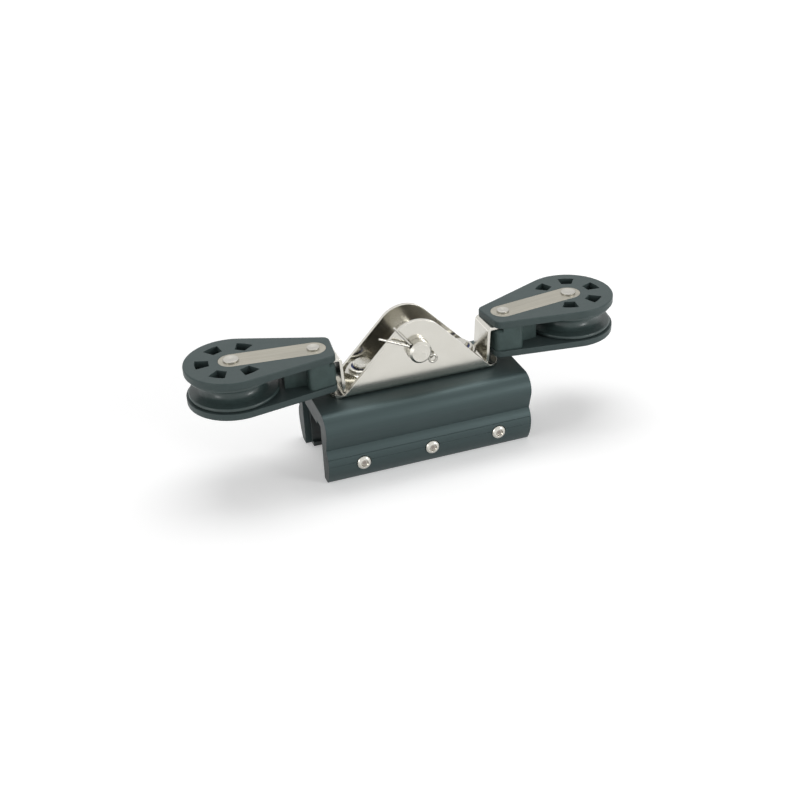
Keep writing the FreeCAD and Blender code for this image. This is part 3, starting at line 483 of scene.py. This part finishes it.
def cut_threads(context, steel):
    """Add the turns of thread that show on the two bolts' ends."""
    sizes = detail()
    reach = row_reach("mounting_bolts", "y")
    mesh = bpy.data.meshes.new("bolt_points")
    mesh.from_pydata([(-reach, 0, 0), (reach, 0, 0)], [], [])
    points = bpy.data.objects.new("bolt_points", mesh)
    context.scene.collection.objects.link(points)
    modifier = points.modifiers.new("threads", "NODES")
    modifier.node_group = thread_tree(steel)
    set_inputs(modifier, {
        "Radius": sizes.thread_radius, "Pitch": sizes.thread_pitch,
        "Thread Height": sizes.thread_height, "Start": sizes.thread_start,
        "End": sizes.thread_end})
    context.view_layer.update()
    keep_mesh(points, "bolt_threads", "car")


class Operator(bpy.types.Operator):
    """Shared settings of the operators below."""

    bl_options = {"REGISTER", "UNDO"}


class TRACKCAR_OT_body(Operator):
    """Finish the extruded body, its slides and the rivets in its sides"""

    bl_idname = "trackcar.body"
    bl_label = "Body and slides"

    def execute(self, context):
        colours = finish()
        cover("car_body", anodised())
        acetal = moulded("slide_acetal", colours.slide, colours.sheave, roughness=0.36)
        for side in ("front", "back"):
            cover(f"slide_{side}", acetal)
            rivets = f"side_rivets_{side}"
            steel = pulled_steel(f"rivet_steel_{side}", middle(rivets),
                                 row_reach(rivets, "z"), detail().rivet_dimple)
            cover(rivets, steel)
        return {"FINISHED"}


class TRACKCAR_OT_bracket(Operator):
    """Finish the folded bracket and the strap that carries the blocks"""

    bl_idname = "trackcar.bracket"
    bl_label = "Bracket and strap"

    def execute(self, context):
        for node in ("bracket", "block_strap"):
            cover(node, polished_sheet(f"{node}_steel"))
        return {"FINISHED"}


class TRACKCAR_OT_fasteners(Operator):
    """Finish the bolts, their locking nuts and the nylon rings, and cut the bolts' threads"""

    bl_idname = "trackcar.fasteners"
    bl_label = "Bolts and nuts"

    def execute(self, context):
        nylon = finish().nylon
        steel = bright_steel("fastener_steel", roughness=0.2, shade=0.85)
        cover("mounting_bolts", steel)
        cover("locking_nuts", bright_steel("nut_steel", roughness=0.18, shade=0.85))
        cover("nut_inserts", moulded("insert_nylon", nylon, scaled(nylon, 1.7),
                                     roughness=0.3, coat=0.3))
        cut_threads(context, steel)
        return {"FINISHED"}


class TRACKCAR_OT_pin(Operator):
    """Finish the clevis pin and its split pin"""

    bl_idname = "trackcar.pin"
    bl_label = "Clevis pin"

    def execute(self, context):
        cover("clevis_pin", turned_steel("pin_steel", middle("clevis_pin"), ROUND_Y,
                                         spacing=0.3 * MM, roughness=0.26))
        cover("split_pin", bright_steel("wire_steel", roughness=0.24, shade=0.72))
        return {"FINISHED"}


class TRACKCAR_OT_blocks(Operator):
    """Finish the two blocks: cheeks, straps, sheaves, spacers and rivets"""

    bl_idname = "trackcar.blocks"
    bl_label = "Blocks"

    def execute(self, context):
        colours = finish()
        cheek = moulded("cheek_plastic", colours.cheek, colours.cheek_mottle,
                        colours.cheek_roughness, shine=0.25)
        spacer = moulded("spacer_plastic", colours.spacer, scaled(colours.spacer, 1.5),
                         roughness=0.44, shine=0.3)
        sheave = moulded("sheave_acetal", colours.sheave, scaled(colours.sheave, 1.4),
                         roughness=0.3, coat=0.06, shine=0.4)
        bush = moulded("bush_acetal", colours.bush, scaled(colours.bush, 1.1), roughness=0.4)
        for side in ("left", "right"):
            strip = brushed_strip(f"{side}_strap_steel", middle(f"{side}_axle_rivet"),
                                  heading(side))
            for level in ("upper", "lower"):
                cover(f"{side}_{level}_cheek", cheek)
                cover(f"{side}_{level}_strap", strip)
            cover(f"{side}_spacer", spacer)
            cover(f"{side}_sheave", sheave)
            cover(f"{side}_sheave_bush", bush)
            for end in ("axle", "tail"):
                rivet = f"{side}_{end}_rivet"
                cover(rivet, turned_steel(f"{side}_{end}_steel", middle(rivet),
                                          roughness=0.3, shade=0.72))
        return {"FINISHED"}


def lamp(name, watts, place, width, height):
    """A large soft lamp that points at the car."""
    data = bpy.data.lights.new(name, "AREA")
    data.shape = "RECTANGLE"
    data.size, data.size_y = width, height
    data.energy = watts
    obj = bpy.data.objects.new(name, data)
    obj.location = place
    obj.rotation_euler = (Vector(LAMP_AIM) - Vector(place)).to_track_quat("-Z", "Y").to_euler()
    bpy.context.scene.collection.objects.link(obj)


def white_where_seen(tree, lighting, seen):
    """One shader as it lights the car, and another where the camera or a reflection sees it."""
    path = add_node(tree, "ShaderNodeLightPath").outputs
    ray = path["Is Camera Ray"]
    for name in ("Is Glossy Ray", "Is Transmission Ray"):
        ray = add_node(tree, "ShaderNodeMath", {0: ray, 1: path[name]},
                       operation="MAXIMUM").outputs[0]
    mixed = add_node(tree, "ShaderNodeMixShader", {
        "Fac": ray, 1: lighting.outputs[0], 2: seen.outputs[0]})
    return mixed.outputs[0]


def light_world(scene):
    """Soft light from all round, and a white background."""
    world = scene.world or bpy.data.worlds.new("studio")
    scene.world = world
    tree = empty_tree(world)
    soft = add_node(tree, "ShaderNodeBackground", {
        "Color": WHITE, "Strength": studio().world_light})
    white = add_node(tree, "ShaderNodeBackground", {"Color": WHITE, "Strength": 1.0})
    add_node(tree, "ShaderNodeOutputWorld", {"Surface": white_where_seen(tree, soft, white)})


def lay_floor(scene):
    """A pale floor that keeps the car's shadow and fades into the background."""
    reach = FLOOR_REACH
    mesh = bpy.data.meshes.new("floor")
    mesh.from_pydata([(-reach, -reach, 0), (reach, -reach, 0),
                      (reach, reach, 0), (-reach, reach, 0)], [], [(0, 1, 2, 3)])
    floor = bpy.data.objects.new("floor", mesh)
    scene.collection.objects.link(floor)
    pale = bpy.data.materials.new("pale_floor")
    tree = empty_tree(pale)
    base = add_node(tree, "ShaderNodeBsdfDiffuse", {"Color": (*studio().floor, 1.0)})
    place = add_node(tree, "ShaderNodeTexCoord").outputs["Object"]
    away = add_node(tree, "ShaderNodeVectorMath", {0: place}, operation="LENGTH")
    strength = add_node(tree, "ShaderNodeMapRange", {
        "Value": away.outputs["Value"], "From Min": GLOW_NEAR, "From Max": GLOW_FAR,
        "To Min": studio().floor_glow})
    glow = add_node(tree, "ShaderNodeEmission", {
        "Color": WHITE, "Strength": strength.outputs["Result"]})
    both = add_node(tree, "ShaderNodeAddShader", {0: base.outputs[0], 1: glow.outputs[0]})
    add_node(tree, "ShaderNodeOutputMaterial", {"Surface": white_where_seen(tree, base, both)})
    mesh.materials.append(pale)


def add_camera(scene):
    """The photograph's view."""
    bearing, tilt, roll = (math.radians(angle) for angle in CAMERA_ANGLES)
    right = Vector((math.cos(bearing), math.sin(bearing), 0.0))
    ahead = Vector((-math.sin(bearing) * math.cos(tilt), math.cos(bearing) * math.cos(tilt),
                    -math.sin(tilt)))
    up = right.cross(ahead)
    rolled_right = right * math.cos(roll) + up * math.sin(roll)
    rolled_up = up * math.cos(roll) - right * math.sin(roll)
    data = bpy.data.cameras.new("camera")
    data.sensor_width = SENSOR_WIDTH
    data.lens = FOCAL_LENGTH * SENSOR_WIDTH / IMAGE_WIDTH
    data.shift_x = (IMAGE_WIDTH / 2 - IMAGE_CENTRE[0]) / IMAGE_WIDTH
    data.shift_y = (IMAGE_CENTRE[1] - IMAGE_WIDTH / 2) / IMAGE_WIDTH
    data.clip_start, data.clip_end = CAMERA_CLIP
    camera = bpy.data.objects.new("camera", data)
    turn = Matrix((rolled_right, rolled_up, -ahead)).transposed()
    camera.matrix_world = Matrix.Translation(CAMERA_PLACE) @ turn.to_4x4()
    scene.collection.objects.link(camera)
    scene.camera = camera


class TRACKCAR_OT_stage(Operator):
    """Set up the pale floor, the soft lamps, the white background and the camera"""

    bl_idname = "trackcar.stage"
    bl_label = "Studio"

    def execute(self, context):
        scene = context.scene
        scene.view_settings.view_transform = "Standard"
        light_world(scene)
        lay_floor(scene)
        for name, (place, width, height) in LAMPS.items():
            lamp(f"{name}_lamp", getattr(studio(), name), place, width, height)
        add_camera(scene)
        return {"FINISHED"}


class TRACKCAR_PT_panel(bpy.types.Panel):
    """The car's finishes and the studio"""

    bl_idname = "TRACKCAR_PT_panel"
    bl_label = "Track car"
    bl_space_type = "VIEW_3D"
    bl_region_type = "UI"
    bl_category = "Track Car"

    def draw(self, context):
        for operator in OPERATORS:
            self.layout.operator(operator.bl_idname)
        for group in (finish(), detail(), studio()):
            box = self.layout.box()
            for name in group.__annotations__:
                box.prop(group, name)


GROUPS = {
    "trackcar_finish": TRACKCAR_PG_finish,
    "trackcar_detail": TRACKCAR_PG_detail,
    "trackcar_studio": TRACKCAR_PG_studio,
}
OPERATORS = (
    TRACKCAR_OT_stage,
    TRACKCAR_OT_body,
    TRACKCAR_OT_bracket,
    TRACKCAR_OT_fasteners,
    TRACKCAR_OT_pin,
    TRACKCAR_OT_blocks,
)


def register():
    for name, group in GROUPS.items():
        bpy.utils.register_class(group)
        setattr(bpy.types.Scene, name, PointerProperty(type=group))
    for operator in OPERATORS:
        bpy.utils.register_class(operator)
    bpy.utils.register_class(TRACKCAR_PT_panel)


def unregister():
    bpy.utils.unregister_class(TRACKCAR_PT_panel)
    for operator in reversed(OPERATORS):
        bpy.utils.unregister_class(operator)
    for name, group in reversed(GROUPS.items()):
        delattr(bpy.types.Scene, name)
        bpy.utils.unregister_class(group)


def main():
    register()
    bpy.ops.trackcar.stage()
    bpy.ops.trackcar.body()
    bpy.ops.trackcar.bracket()
    bpy.ops.trackcar.fasteners()
    bpy.ops.trackcar.pin()
    bpy.ops.trackcar.blocks()


if __name__ == "__main__":
    main()
